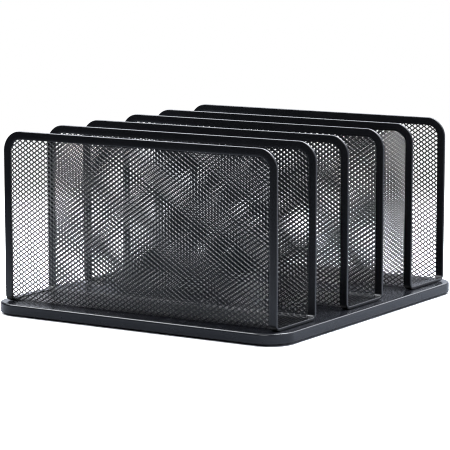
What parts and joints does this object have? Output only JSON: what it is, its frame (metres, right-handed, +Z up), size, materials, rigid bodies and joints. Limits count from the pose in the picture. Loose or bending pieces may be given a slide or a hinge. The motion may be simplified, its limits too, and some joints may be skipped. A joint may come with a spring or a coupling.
{
  "type": "desktop file sorter",
  "caption": "Black desktop file sorter: U-shaped mesh channels with folded steel edges stand side by side on a shallow tray, making upright slots for folders.",
  "frame": {"origin": "bottom centre of the sorter's box, on the desk plane that the feet rest on", "axes": "+X runs along the walls to the right, +Y from the front wall to the rear wall, +Z up"},
  "size_m": [0.3206, 0.3506, 0.175],
  "materials": {
    "binding_paint": "smooth gloss black paint",
    "mesh_paint": "black paint on expanded steel mesh",
    "tray_paint": "semi-gloss black paint with a slightly blue cast",
    "foot_rubber": "matt black rubber"
  },
  "bodies": {
    "root": {"base_tray": "tray_paint", "front_mesh_channel": "mesh_paint", "front_edge_binding": "binding_paint", "middle_mesh_channel": "mesh_paint", "middle_edge_binding": "binding_paint", "rear_mesh_channel": "mesh_paint", "rear_edge_binding": "binding_paint", "foot_front_left": "foot_rubber", "foot_front_right": "foot_rubber", "foot_rear_left": "foot_rubber", "foot_rear_right": "foot_rubber"}
  },
  "joints": []
}
